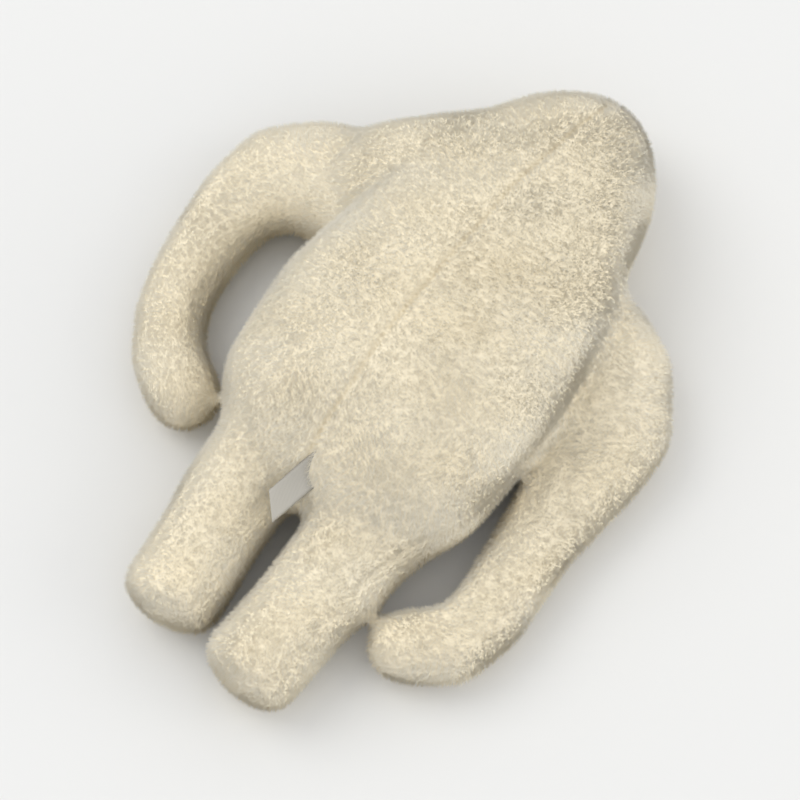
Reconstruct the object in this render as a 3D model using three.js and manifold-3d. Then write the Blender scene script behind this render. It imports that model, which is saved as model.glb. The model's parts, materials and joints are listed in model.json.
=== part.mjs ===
// Plush chicken: a stuffed toy of pile fabric, lying on its belly. Millimetres, +Y towards the head, +Z up.
// The origin is on the flat of the belly, where the toy rests.
import * as THREE from "three";
import { mergeVertices } from "three/addons/utils/BufferGeometryUtils.js";
import Module from "manifold-3d";

const wasm = await Module();
wasm.setup();

// ---- Driving dimensions ----
const FABRIC = 4; // thickness of the pile fabric, backing and pile together
const SEAM_GAP = 0.3; // gap between two pieces that touch
const TURN_GAP = 0.8; // gap round each rounded end that turns
const HIP_GAP = 1.6; // the same at the hips, whose round roots are coarser
const BODY_POWER = 2.3; // 2 makes the section an ellipse; more fills it out
const WING_POWER = 2.15;

// Body: one shape that tapers from the rump to the crown
const BODY_HALF_WIDTH = 88; // at the widest, level with the origin
const BODY_BEND = 5; // how far the soft body bends to its left at the neck
const BODY_HEIGHT = 114; // from the floor to the top of the back
const RUMP_LENGTH = 106; // origin to the lower end of the torso
const NECK_Y = 120; // origin to the line where the head nods
const HEAD_LENGTH = 89; // neck line to the crown
const RUMP_CAP = 42; // length over which the rump rounds off
const CROWN_CAP = 50; // length over which the crown rounds off
const BELLY_SINK = 8; // how much of the round belly the floor presses flat
const SIDE_SEAM_Z = 52; // height of the side seam at the origin
const SIDE_SEAM_RISE = 0.03; // rise of the side seam for each millimetre towards the head
const BACK_SEAM_X = -5; // the seam down the back runs a little to the left of the middle
const NECK_HALF_WIDTH = 46; // of the rounded root inside the torso
const NECK_RIM = 8; // how far short of the neck line the torso stops
const NECK_RANGE = [-12, 25]; // degrees, bowed and lifted

// Wings: round tubes, wide and flat at the shoulder
const SHOULDER_SET_IN = 5; // shoulder line inside the widest part of the torso
const SHOULDER_Y = 68;
const SHOULDER_HALF_WIDTH = 44;
const SHOULDER_HALF_HEIGHT = 27;
const SHOULDER_LEAN = 6; // degrees that the shoulder seam leans outwards at its lower end
const WING_HALF_WIDTH = 21.5; // in the middle of the wing
const WING_HALF_HEIGHT = 22;
const WING_TIP_HALF_WIDTH = 22.5;
const WING_SINK = 1.2; // how much of the wing the floor presses flat
const WING_CLEARANCE = 5; // further gap between the head and the shoulder, which both turn
const ELBOW_AT = 160; // shoulder line to elbow, along the wing
const ELBOW_RIM = 5; // how far short of the elbow's pivot the upper wing stops
const SHOULDER_RANGE = [-15, 45]; // degrees, lowered and lifted
const ELBOW_RANGE = [0, 60]; // degrees, opened out

// Legs: short tubes with round soles
const LEG_HALF_WIDTH = 28.5;
const THIGH_HALF_WIDTH = 33;
const THIGH_HALF_HEIGHT = 31;
const LEG_LENGTH = 102; // hip line to the outside of the sole
const LEG_SPLAY = 12; // gap between the thighs
const LEG_SINK = 1.2;
const SOLE_CAP = 11; // length over which the sole domes outwards
const HIP_RANGE = [-60, 30]; // degrees, swung under the belly and lifted behind

// Care label: a satin ribbon folded in two, sewn into the end of the back seam
const LABEL_WIDTH = 20;
const LABEL_LENGTH = 48;
const LABEL_THICKNESS = 2.4;
const LABEL_SLOPE = 43; // degrees that it hangs below level
const LABEL_ROOT_Y = -84;
const LABEL_ROOT_HEIGHT = 1.02; // share of the height of the back there

// ---- Solids ----
const REACH = 600; // half size of the boxes that halve a solid
const SHOULDER_MARGIN = 3; // room beyond each end of the wide shoulder root
const BARREL_AROUND = 32; // sides of a rounded end, enough to clear its socket at any angle
const TURN_STEPS = 6; // turns of a limb that make up the room it sweeps

function solidOf(geometry) {
  const bare = geometry.clone();
  bare.deleteAttribute("normal");
  bare.deleteAttribute("uv");
  const merged = mergeVertices(bare, 1e-4);
  return new wasm.Manifold(
    new wasm.Mesh({
      numProp: 3,
      vertProperties: merged.attributes.position.array,
      triVerts: new Uint32Array(merged.index.array),
    }),
  );
}

function geometryOf(solid) {
  const mesh = solid.getMesh();
  const geometry = new THREE.BufferGeometry();
  geometry.setAttribute("position", new THREE.BufferAttribute(mesh.vertProperties, 3));
  geometry.setIndex(new THREE.BufferAttribute(mesh.triVerts, 1));
  geometry.computeVertexNormals();
  return geometry;
}

// The half of space on the side of a point that a direction looks to.
function halfSpace(point, direction) {
  const geometry = new THREE.BoxGeometry(2 * REACH, 2 * REACH, 2 * REACH);
  geometry.translate(0, 0, REACH);
  const turn = new THREE.Quaternion().setFromUnitVectors(new THREE.Vector3(0, 0, 1), direction.clone().normalize());
  geometry.applyQuaternion(turn);
  return solidOf(geometry.translate(point.x, point.y, point.z));
}

// A solid through closed rings of points, drawn to one point at each end.
function loft(rings, startPoint, endPoint) {
  const around = rings[0].length;
  const points = [startPoint, ...rings.flat(), endPoint];
  const last = points.length - 1;
  const index = [];
  for (let j = 0; j < around; j += 1) {
    const next = (j + 1) % around;
    index.push(0, 1 + next, 1 + j);
    for (let i = 0; i < rings.length - 1; i += 1) {
      const here = 1 + i * around;
      const beyond = here + around;
      index.push(here + j, here + next, beyond + next, here + j, beyond + next, beyond + j);
    }
    const end = last - around;
    index.push(last, end + j, end + next);
  }
  const geometry = new THREE.BufferGeometry().setFromPoints(points);
  geometry.setIndex(index);
  return solidOf(geometry);
}

// A ring round a centre: an ellipse for power 2, filled out more for a higher one.
function ring(centre, sideways, upwards, halfWidth, halfHeight, around, power) {
  const points = [];
  for (let j = 0; j < around; j += 1) {
    const angle = (2 * Math.PI * j) / around;
    const across = Math.sign(Math.cos(angle)) * Math.abs(Math.cos(angle)) ** (2 / power);
    const up = Math.sign(Math.sin(angle)) * Math.abs(Math.sin(angle)) ** (2 / power);
    const point = centre.clone().addScaledVector(sideways, across * halfWidth);
    points.push(point.addScaledVector(upwards, up * halfHeight));
  }
  return points;
}

// A smooth curve through [place, value] pairs.
function profile(pairs) {
  const places = pairs.map((pair) => pair[0]);
  const values = pairs.map((pair) => pair[1]);
  const curve = new THREE.CubicInterpolant(places, values, 1, new Float32Array(1));
  return (place) => curve.evaluate(place)[0];
}

// Places from start to end, each with the share of the full section that it has; a cap rounds off each end.
function places(start, end, startCap, endCap, middleSteps, capSteps) {
  const list = [];
  for (let k = 1; k <= capSteps && startCap > 0; k += 1) {
    const angle = (Math.PI / 2) * (1 - k / (capSteps + 1));
    list.push({ at: start + startCap * (1 - Math.sin(angle)), share: Math.cos(angle) });
  }
  for (let k = 0; k <= middleSteps; k += 1) {
    const from = start + startCap;
    list.push({ at: from + ((end - endCap - from) * k) / middleSteps, share: 1 });
  }
  for (let k = capSteps; k >= 1 && endCap > 0; k -= 1) {
    const angle = (Math.PI / 2) * (1 - k / (capSteps + 1));
    list.push({ at: end - endCap * (1 - Math.sin(angle)), share: Math.cos(angle) });
  }
  return list;
}

const X_AXIS = new THREE.Vector3(1, 0, 0);
const Y_AXIS = new THREE.Vector3(0, 1, 0);
const Z_AXIS = new THREE.Vector3(0, 0, 1);
const onOrAbove = (height) => halfSpace(new THREE.Vector3(0, 0, height), Z_AXIS);

// ---- Body ----
const CROWN_Y = NECK_Y + HEAD_LENGTH;
const BODY_AROUND = 22;

// Shares of the full width and height from the rump (-1) through the origin (0) to the crown (1)
const widthShare = profile([[-1, 0.93], [-0.6, 0.955], [0, 1], [0.25, 0.93], [0.5, 0.83], [0.68, 0.71], [0.85, 0.54], [1, 0.4]]);
const topShare = profile([[-1, 0.62], [-0.6, 0.83], [-0.2, 0.98], [0.1, 1], [0.35, 0.95], [0.55, 0.86], [0.78, 0.72], [1, 0.6]]);
const lowShare = profile([[-1, -0.2], [-0.6, 0.9], [0, 1], [0.5, 0.8], [0.75, 0.3], [1, -1.2]]);

const bendShare = profile([[-1, 0], [0, 0], [0.25, 0.35], [0.5, 0.95], [0.68, 1], [0.85, 0.7], [1, 0.3]]);

const bodyPlace = (y) => (y < 0 ? y / RUMP_LENGTH : y / CROWN_Y);
const bodyHalfWidth = (y) => BODY_HALF_WIDTH * widthShare(bodyPlace(y));
const bodyCentreX = (y) => -BODY_BEND * bendShare(bodyPlace(y));
const bodyTop = (y) => BODY_HEIGHT * topShare(bodyPlace(y));
const bodyLow = (y) => -BELLY_SINK * lowShare(bodyPlace(y));
const bodyCentreZ = (y) => (bodyTop(y) + bodyLow(y)) / 2;
const bodyCentre = (y) => new THREE.Vector3(bodyCentreX(y), y, bodyCentreZ(y));
const bodyHalfHeight = (y) => (bodyTop(y) - bodyLow(y)) / 2;

// The whole body from rump to crown, its skin moved in by inset, flat where it rests.
function wholeBody(inset) {
  const start = -RUMP_LENGTH + inset;
  const end = CROWN_Y - inset;
  const stops = places(start, end, RUMP_CAP - inset, CROWN_CAP - inset, 7, 3);
  const rings = stops.map(({ at, share }) => {
    const centre = bodyCentre(at);
    const halfWidth = (bodyHalfWidth(at) - inset) * share;
    const halfHeight = (bodyHalfHeight(at) - inset) * share;
    return ring(centre, X_AXIS, Z_AXIS, -halfWidth, halfHeight, BODY_AROUND, BODY_POWER);
  });
  return loft(rings, bodyCentre(start), bodyCentre(end)).intersect(onOrAbove(inset));
}

// ---- Joints ----
// A rounded end, turned about an axis through its pivot: the round barrel itself.
function barrel(pivot, axis, radius, halfLength) {
  const geometry = new THREE.CylinderGeometry(radius, radius, 2 * halfLength, BARREL_AROUND);
  const turn = new THREE.Quaternion().setFromUnitVectors(Y_AXIS, axis);
  geometry.applyQuaternion(turn);
  return solidOf(geometry.translate(pivot.x, pivot.y, pivot.z));
}

// A solid turned about an axis through a pivot.
function turned(solid, pivot, axis, degrees) {
  const turn = new THREE.Matrix4().makeRotationAxis(axis, THREE.MathUtils.degToRad(degrees));
  const back = pivot.clone().negate();
  return solid.translate(back.toArray()).transform(turn.elements).translate(pivot.toArray());
}

// Everything that a joint needs: the room its child sweeps, with a gap all round, and the cut that rounds the
// child's root. limbAt gives the whole limb with its skin moved in, and rootHalf is half the width of the root.
function makeJoint({ pivot, axis, outwards, radius, rootHalf, range, limbAt }) {
  function rootOf(inset) {
    const face = pivot.clone().addScaledVector(outwards, inset);
    return barrel(pivot, axis, radius - inset, rootHalf - inset).add(halfSpace(face, outwards));
  }
  function room(spare) {
    const gap = TURN_GAP + spare;
    const beyond = halfSpace(pivot.clone().addScaledVector(outwards, -gap), outwards);
    const limb = limbAt(-gap).intersect(beyond);
    const solids = [barrel(pivot, axis, radius + gap, rootHalf + gap)];
    for (let k = 0; k <= TURN_STEPS; k += 1) {
      const degrees = range[0] + ((range[1] - range[0]) * k) / TURN_STEPS;
      solids.push(turned(limb, pivot, axis, degrees));
    }
    return wasm.Manifold.union(solids);
  }
  return { pivot, axis, outwards, range, room, rootOf };
}

const neck = makeJoint({
  pivot: bodyCentre(NECK_Y),
  axis: X_AXIS,
  outwards: Y_AXIS,
  radius: bodyHalfHeight(NECK_Y),
  rootHalf: NECK_HALF_WIDTH,
  range: NECK_RANGE,
  limbAt: wholeBody,
});

// ---- Wings ----
// Each wing's middle line from inside the shoulder to the centre of its round tip, as steps outwards and along Y
// from the shoulder; the tip's place comes from what it lies beside.
const SIDES = { left: -1, right: 1 };
const WING_AROUND = 14;
const TUCK_GAP = 3; // between a wing tip and the hip or leg beside it
const SHOULDER_X = BODY_HALF_WIDTH - SHOULDER_SET_IN;
const HIP_X = LEG_SPLAY / 2 + THIGH_HALF_WIDTH;
const HIP_Y = { left: -100, right: -107 };
const WING_STEPS = {
  left: [[-66, 2], [0, 9], [20, 10], [43, 5], [60, -9], [68, -32], [69, -58], [64, -91], [55, -117], [38, -140]],
  right: [[-66, 36], [0, 0], [15, -15], [22, -34], [27, -56], [29, -78], [31, -101], [34, -129], [37, -156], [32, -182]],
};
const TIP_Y = { left: SHOULDER_Y - 152, right: SHOULDER_Y - 198 };
const TIP_UNDERCUT = 8; // how far the tip may reach in under the round of the hip

function tipX(side) {
  if (side === "left") return bodyHalfWidth(TIP_Y.left) - TIP_UNDERCUT + TUCK_GAP + WING_TIP_HALF_WIDTH;
  return HIP_X + LEG_HALF_WIDTH + TUCK_GAP + WING_TIP_HALF_WIDTH;
}

function wingCurve(side) {
  const line = WING_STEPS[side].map(([out, along]) => [SHOULDER_X + out, SHOULDER_Y + along]);
  line.push([tipX(side), TIP_Y[side]]);
  const points = line.map(([x, y]) => new THREE.Vector3(SIDES[side] * x, y, 0));
  return new THREE.CatmullRomCurve3(points, false, "centripetal");
}

// Share of the shoulder's extra width that is left along the wing, from the shoulder line
const shoulderShare = profile([[-90, 1], [0, 1], [30, 0.97], [50, 0.76], [69, 0.54], [88, 0.28], [110, 0.06], [150, 0]]);
const tipShare = profile([[ELBOW_AT - 20, 0], [ELBOW_AT, 0], [ELBOW_AT + 40, 1], [ELBOW_AT + 120, 1]]);

function wingHalfWidth(along) {
  const shoulder = (SHOULDER_HALF_WIDTH - WING_HALF_WIDTH) * shoulderShare(Math.min(along, 150));
  const tip = (WING_TIP_HALF_WIDTH - WING_HALF_WIDTH) * tipShare(Math.max(along, ELBOW_AT - 20));
  return WING_HALF_WIDTH + shoulder + tip;
}
const wingHalfHeight = profile([
  [-90, SHOULDER_HALF_HEIGHT],
  [0, SHOULDER_HALF_HEIGHT],
  [50, (SHOULDER_HALF_HEIGHT + WING_HALF_HEIGHT) / 2],
  [100, WING_HALF_HEIGHT],
  [ELBOW_AT + 120, WING_HALF_HEIGHT],
]);

// The distance from the start of a wing's curve to its shoulder line.
function shoulderDistance(curve) {
  const pointsBefore = 1;
  const share = pointsBefore / (curve.points.length - 1);
  const steps = 60;
  let distance = 0;
  for (let k = 0; k < steps; k += 1) {
    const here = curve.getPoint((share * k) / steps);
    distance += here.distanceTo(curve.getPoint((share * (k + 1)) / steps));
  }
  return distance;
}

function wholeWing(side, inset) {
  const curve = wingCurve(side);
  const length = curve.getLength();
  const before = shoulderDistance(curve);
  const end = length + WING_TIP_HALF_WIDTH - inset;
  const stops = places(0, end, 0, WING_TIP_HALF_WIDTH - inset, 11, 2);
  const upwards = Z_AXIS;
  const frameAt = (at) => {
    const share = Math.min(at / length, 1);
    const heading = curve.getTangentAt(share);
    const centre = curve.getPointAt(share).addScaledVector(heading, Math.max(at - length, 0));
    centre.z = wingHalfHeight(at - before) - WING_SINK;
    return { centre, sideways: new THREE.Vector3().crossVectors(heading, upwards) };
  };
  const rings = stops.map(({ at, share }) => {
    const { centre, sideways } = frameAt(at);
    const halfWidth = (wingHalfWidth(at - before) - inset) * share;
    const halfHeight = (wingHalfHeight(at - before) - inset) * share;
    return ring(centre, sideways, upwards, -halfWidth, halfHeight, WING_AROUND, WING_POWER);
  });
  return loft(rings, frameAt(0).centre, frameAt(end).centre).intersect(onOrAbove(inset));
}

// Lifting is positive, so the axis runs towards the head on the left and towards the feet on the right.
function shoulderJoint(side) {
  const lean = THREE.MathUtils.degToRad(SHOULDER_LEAN);
  const seam = new THREE.Vector3(-SIDES[side] * Math.sin(lean), Math.cos(lean), 0);
  return makeJoint({
    pivot: new THREE.Vector3(SIDES[side] * SHOULDER_X, SHOULDER_Y, SHOULDER_HALF_HEIGHT - WING_SINK),
    axis: seam.multiplyScalar(-SIDES[side]),
    outwards: new THREE.Vector3(SIDES[side] * Math.cos(lean), Math.sin(lean), 0),
    radius: SHOULDER_HALF_HEIGHT,
    rootHalf: SHOULDER_HALF_WIDTH + SHOULDER_MARGIN,
    range: SHOULDER_RANGE,
    limbAt: (inset) => wholeWing(side, inset),
  });
}

function elbowJoint(side) {
  const curve = wingCurve(side);
  const share = (shoulderDistance(curve) + ELBOW_AT) / curve.getLength();
  const pivot = curve.getPointAt(share);
  pivot.z = WING_HALF_HEIGHT - WING_SINK;
  return makeJoint({
    pivot,
    axis: new THREE.Vector3(0, 0, SIDES[side]),
    outwards: curve.getTangentAt(share),
    radius: WING_HALF_WIDTH,
    rootHalf: WING_HALF_HEIGHT + WING_SINK,
    range: ELBOW_RANGE,
    limbAt: (inset) => wholeWing(side, inset),
  });
}

// ---- Legs ----
const LEG_AROUND = 16;
const SOLE_X = { left: 25, right: 34 };

const legHalfWidth = profile([
  [-40, THIGH_HALF_WIDTH],
  [0, THIGH_HALF_WIDTH],
  [22, (THIGH_HALF_WIDTH + LEG_HALF_WIDTH) / 2],
  [45, LEG_HALF_WIDTH],
  [LEG_LENGTH, LEG_HALF_WIDTH + 0.5],
]);
const legHalfHeight = profile([
  [-40, THIGH_HALF_HEIGHT],
  [0, THIGH_HALF_HEIGHT],
  [45, LEG_HALF_WIDTH],
  [LEG_LENGTH, LEG_HALF_WIDTH + 0.5],
]);

function hipJoint(side) {
  const pivot = new THREE.Vector3(SIDES[side] * HIP_X, HIP_Y[side], THIGH_HALF_HEIGHT - LEG_SINK);
  return { pivot, axis: X_AXIS.clone().negate(), range: HIP_RANGE };
}

// The room that a thigh sweeps in the rump as it turns.
function hipRoom(side, spare) {
  const { pivot, range } = hipJoint(side);
  const heading = legHeading(side);
  const wide = THIGH_HALF_WIDTH + HIP_GAP + spare;
  const high = THIGH_HALF_HEIGHT + HIP_GAP + spare;
  const steps = 4;
  const solids = [solidOf(new THREE.SphereGeometry(1, 16, 10).scale(wide, high, high).translate(pivot.x, pivot.y, pivot.z))];
  for (let k = 0; k <= steps; k += 1) {
    const degrees = range[0] + ((range[1] - range[0]) * k) / steps;
    const tube = new THREE.CylinderGeometry(1, 1, LEG_LENGTH, 16).scale(wide, 1, high);
    tube.translate(0, -LEG_LENGTH / 2, 0).rotateZ(Math.atan2(heading.x, -heading.y));
    tube.rotateX(-THREE.MathUtils.degToRad(degrees));
    solids.push(solidOf(tube.translate(pivot.x, pivot.y, pivot.z)));
  }
  return wasm.Manifold.union(solids);
}

function legHeading(side) {
  const { pivot } = hipJoint(side);
  const solePoint = new THREE.Vector3(SIDES[side] * SOLE_X[side], pivot.y - LEG_LENGTH, pivot.z);
  return solePoint.sub(pivot).normalize();
}

function wholeLeg(side, inset) {
  const { pivot } = hipJoint(side);
  const heading = legHeading(side);
  const start = -THIGH_HALF_HEIGHT + inset;
  const end = LEG_LENGTH - inset;
  const sideways = new THREE.Vector3().crossVectors(heading, Z_AXIS);
  const centreAt = (at) => {
    const centre = pivot.clone().addScaledVector(heading, at);
    centre.z = legHalfHeight(at) - LEG_SINK;
    return centre;
  };
  const stops = places(start, end, THIGH_HALF_HEIGHT - inset, SOLE_CAP - inset, 4, 2);
  const rings = stops.map(({ at, share }) => {
    const halfWidth = (legHalfWidth(at) - inset) * share;
    const halfHeight = (legHalfHeight(at) - inset) * share;
    return ring(centreAt(at), sideways, Z_AXIS, -halfWidth, halfHeight, LEG_AROUND, 2);
  });
  return loft(rings, centreAt(start), centreAt(end)).intersect(onOrAbove(inset));
}

// ---- Cutting a shell into its panels ----
// A part of the toy as a fabric shell and the stuffing that fills it.
function shellAndStuffing(solidAt) {
  const shell = solidAt(0).subtract(solidAt(FABRIC));
  return { shell, stuffing: solidAt(FABRIC + SEAM_GAP) };
}

// The two sides of a seam, with the gap between them.
function splitAt(solid, point, direction) {
  const back = direction.clone().negate();
  const ahead = point.clone().addScaledVector(direction, SEAM_GAP / 2);
  const behind = point.clone().addScaledVector(back, SEAM_GAP / 2);
  return [solid.intersect(halfSpace(ahead, direction)), solid.intersect(halfSpace(behind, back))];
}

const PILE_CREAM = 0xece2c5;
const chicken = new THREE.Group();

function addPiece(name, solid, colour, roughness) {
  const material = new THREE.MeshStandardMaterial({ color: colour, roughness, metalness: 0 });
  const mesh = new THREE.Mesh(geometryOf(solid), material);
  mesh.name = name;
  chicken.add(mesh);
}
const addPanel = (name, solid) => addPiece(name, solid, PILE_CREAM, 0.95);
const addStuffing = (name, solid) => addPiece(name, solid, 0xf4f2ec, 1);

// Torso and head: a belly side, and a back in two halves that meet at the back seam
const sideSeamNormal = new THREE.Vector3(0, -SIDE_SEAM_RISE, 1).normalize();
const sideSeamPoint = new THREE.Vector3(0, 0, SIDE_SEAM_Z);
const shoulders = { left: shoulderJoint("left"), right: shoulderJoint("right") };
const elbows = { left: elbowJoint("left"), right: elbowJoint("right") };

function torsoAt(inset) {
  const beyondNeck = halfSpace(new THREE.Vector3(0, NECK_Y - NECK_RIM - inset, 0), Y_AXIS);
  const rooms = [beyondNeck, neck.room(inset)];
  for (const side of Object.keys(SIDES)) rooms.push(shoulders[side].room(inset), hipRoom(side, inset));
  return wholeBody(inset).subtract(wasm.Manifold.union(rooms));
}
const headAt = (inset) => wholeBody(inset).intersect(neck.rootOf(inset));

function addBodyPieces(part, frontName, solidAt) {
  const { shell, stuffing } = shellAndStuffing(solidAt);
  const [back, front] = splitAt(shell, sideSeamPoint, sideSeamNormal);
  const [right, left] = splitAt(back, new THREE.Vector3(BACK_SEAM_X, 0, 0), X_AXIS);
  addPanel(`${part}_back_left`, left);
  addPanel(`${part}_back_right`, right);
  addPanel(frontName, front);
  addStuffing(`${part}_stuffing`, stuffing);
}
addBodyPieces("torso", "torso_belly", torsoAt);
addBodyPieces("head", "head_front", headAt);

// Wings: an upper and a lower panel on each side of the elbow
function addLimbPieces(part, seamHeight, solidAt) {
  const { shell, stuffing } = shellAndStuffing(solidAt);
  const [top, under] = splitAt(shell, new THREE.Vector3(0, 0, seamHeight), Z_AXIS);
  addPanel(`${part}_top`, top);
  addPanel(`${part}_under`, under);
  addStuffing(`${part}_stuffing`, stuffing);
}
for (const side of Object.keys(SIDES)) {
  const elbow = elbows[side];
  const upperAt = (inset) => {
    const stop = elbow.pivot.clone().addScaledVector(elbow.outwards, -ELBOW_RIM - inset);
    const beyond = wasm.Manifold.union([elbow.room(inset), halfSpace(stop, elbow.outwards), neck.room(inset + WING_CLEARANCE)]);
    return wholeWing(side, inset).intersect(shoulders[side].rootOf(inset)).subtract(beyond);
  };
  const foreAt = (inset) => wholeWing(side, inset).intersect(elbow.rootOf(inset));
  const seamHeight = WING_HALF_HEIGHT - WING_SINK;
  addLimbPieces(`wing_${side}_upper`, seamHeight, upperAt);
  addLimbPieces(`wing_${side}_fore`, seamHeight, foreAt);
}

// Legs: an upper and a lower panel, closed by a round sole
for (const side of Object.keys(SIDES)) {
  const { pivot } = hipJoint(side);
  const heading = legHeading(side);
  const { shell, stuffing } = shellAndStuffing((inset) => wholeLeg(side, inset));
  const soleEdge = pivot.clone().addScaledVector(heading, LEG_LENGTH - SOLE_CAP);
  const [sole, tube] = splitAt(shell, soleEdge, heading);
  const [top, under] = splitAt(tube, pivot, Z_AXIS);
  addPanel(`leg_${side}_top`, top);
  addPanel(`leg_${side}_under`, under);
  addPanel(`leg_${side}_sole`, sole);
  addStuffing(`leg_${side}_stuffing`, stuffing);
}

// Care label: lies along the rump from the end of the back seam, cut clear of the fabric under it
const labelBox = new THREE.BoxGeometry(LABEL_THICKNESS, LABEL_LENGTH, LABEL_WIDTH);
labelBox.translate(0, -LABEL_LENGTH / 2, 0).rotateX(THREE.MathUtils.degToRad(LABEL_SLOPE));
labelBox.translate(BACK_SEAM_X, LABEL_ROOT_Y, bodyTop(LABEL_ROOT_Y) * LABEL_ROOT_HEIGHT);
addPiece("care_label", solidOf(labelBox).subtract(wholeBody(-SEAM_GAP)), 0xd8d2c4, 0.5);

export default chicken;
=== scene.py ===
import json
import math

import bmesh
import bpy
import numpy as np
from mathutils import Matrix, Vector
from mathutils.bvhtree import BVHTree
from mathutils.kdtree import KDTree


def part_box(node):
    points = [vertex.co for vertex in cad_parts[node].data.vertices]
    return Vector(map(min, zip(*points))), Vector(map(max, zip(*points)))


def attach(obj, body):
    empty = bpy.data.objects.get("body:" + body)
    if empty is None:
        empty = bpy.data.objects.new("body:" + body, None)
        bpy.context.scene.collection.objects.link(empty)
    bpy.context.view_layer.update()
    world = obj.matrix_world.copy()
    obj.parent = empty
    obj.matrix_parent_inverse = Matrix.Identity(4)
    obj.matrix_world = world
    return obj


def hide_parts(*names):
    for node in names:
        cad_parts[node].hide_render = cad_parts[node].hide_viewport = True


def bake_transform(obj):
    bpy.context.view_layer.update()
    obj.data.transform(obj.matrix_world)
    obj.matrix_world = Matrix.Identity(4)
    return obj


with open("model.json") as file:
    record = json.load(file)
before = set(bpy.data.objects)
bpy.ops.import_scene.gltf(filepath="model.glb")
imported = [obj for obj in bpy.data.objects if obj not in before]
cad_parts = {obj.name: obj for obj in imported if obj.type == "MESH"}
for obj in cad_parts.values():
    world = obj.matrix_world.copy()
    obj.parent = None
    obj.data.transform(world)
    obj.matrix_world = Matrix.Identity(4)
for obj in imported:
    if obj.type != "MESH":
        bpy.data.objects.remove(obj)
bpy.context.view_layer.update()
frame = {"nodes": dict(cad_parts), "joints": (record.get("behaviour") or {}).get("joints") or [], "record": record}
mm = 0.001
sides = {"left": -1, "right": 1}
joints = {joint["name"]: joint for joint in frame["joints"]}


def pivotOf(joint):
    return Vector(joints[joint]["pos_m"])


def linear(hexColour):
    # sRGB hex to linear colour
    values = [int(hexColour[k : k + 2], 16) / 255 for k in (1, 3, 5)]
    values = [v / 12.92 if v <= 0.04045 else ((v + 0.055) / 1.055) ** 2.4 for v in values]
    return (*values, 1.0)


def addNode(tree, kind, inputs=None, links=None, **settings):
    # one node with its settings, its input values and the sockets that feed it
    node = tree.nodes.new(kind)
    for name, value in settings.items():
        setattr(node, name, value)
    for name, value in (inputs or {}).items():
        node.inputs[name].default_value = value
    for name, source in (links or {}).items():
        tree.links.new(source, node.inputs[name])
    return node


def rampStops(node, stops):
    elements = node.color_ramp.elements
    while len(elements) > 1:
        elements.remove(elements[-1])
    elements[0].position, elements[0].color = stops[0][0], linear(stops[0][1])
    for place, colour in stops[1:]:
        elements.new(place).color = linear(colour)


def newMaterial(name):
    material = bpy.data.materials.new(name)
    material.use_nodes = True
    tree = material.node_tree
    return material, tree, tree.nodes["Principled BSDF"]


plushLook = {
    "root": "#f7eed7",  # painted warm shade, down in the pile where light turns warm
    "middle": "#fbf6e6",
    "tip": "#fefbf0",
    "fold": "#f3e2bb",  # painted shade: the tint of the pile that faces down or lies in a fold
    "foldShare": 0.75,
    "roughness": 1.0,
    "specular": 0.1,
    "sheen": 0.08,
    "sheenRoughness": 0.6,
    "sheenTint": "#fff0d0",
}


def polyesterPile():
    # knitted polyester plush: soft cut pile, pale at the tips, with painted warm shade at the roots and painted
    # shade in the folds and underneath
    material, tree, shader = newMaterial("polyesterPile")
    place = addNode(tree, "ShaderNodeUVMap", uv_map="OFBake")
    split = addNode(tree, "ShaderNodeSeparateXYZ", links={"Vector": place.outputs["UV"]})
    # root to tip along each strand; the root colour is painted warm shade
    depth = addNode(tree, "ShaderNodeValToRGB", links={"Fac": split.outputs["Y"]})
    rampStops(depth, [(0.0, plushLook["root"]), (0.45, plushLook["middle"]), (1.0, plushLook["tip"])])
    # the strand's tone sets its share of the painted shade tint
    tone = addNode(
        tree,
        "ShaderNodeMapRange",
        inputs={"To Min": plushLook["foldShare"], "To Max": 0.0},
        links={"Value": split.outputs["X"]},
    )
    # painted shade: the warm fold tint multiplied into the pile colour
    colour = addNode(
        tree,
        "ShaderNodeMix",
        data_type="RGBA",
        blend_type="MULTIPLY",
        links={"Factor": tone.outputs["Result"]},
    )
    tree.links.new(depth.outputs["Color"], colour.inputs[6])
    colour.inputs[7].default_value = linear(plushLook["fold"])
    tree.links.new(colour.outputs[2], shader.inputs["Base Color"])
    shader.inputs["Roughness"].default_value = plushLook["roughness"]
    shader.inputs["Specular IOR Level"].default_value = plushLook["specular"]
    shader.inputs["Sheen Weight"].default_value = plushLook["sheen"]
    shader.inputs["Sheen Roughness"].default_value = plushLook["sheenRoughness"]
    shader.inputs["Sheen Tint"].default_value = linear(plushLook["sheenTint"])
    return material


fillingLook = {
    # painted shade in the hollows between the clumps
    "hollow": "#d9d5ca",
    "clump": "#f6f4ee",
    "clumpsInMetre": 70.0,  # each about 14 mm across
    "sheen": 0.3,
}


def fibreFilling():
    # loose polyester wadding: matt white clumps, with painted shade in the soft hollows between them
    material, tree, shader = newMaterial("fibreFilling")
    place = addNode(tree, "ShaderNodeTexCoord")
    clumps = addNode(
        tree,
        "ShaderNodeTexNoise",
        inputs={"Scale": fillingLook["clumpsInMetre"], "Detail": 5.0, "Roughness": 0.65},
        links={"Vector": place.outputs["Object"]},
    )
    colour = addNode(tree, "ShaderNodeValToRGB", links={"Fac": clumps.outputs["Fac"]})
    rampStops(colour, [(0.3, fillingLook["hollow"]), (0.7, fillingLook["clump"])])
    tree.links.new(colour.outputs["Color"], shader.inputs["Base Color"])
    shader.inputs["Roughness"].default_value = 1.0
    shader.inputs["Sheen Weight"].default_value = fillingLook["sheen"]
    return material


labelLook = {
    "thread": "#aeaaa0",
    "edge": "#989286",
    "threadSpacing": 0.9,  # mm; satin thread is 0.1 mm, drawn coarser so that it shows
    "edgeShare": 0.06,  # of the width, darker along each side
    "roughness": 0.42,
    "sheen": 0.2,
}


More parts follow.
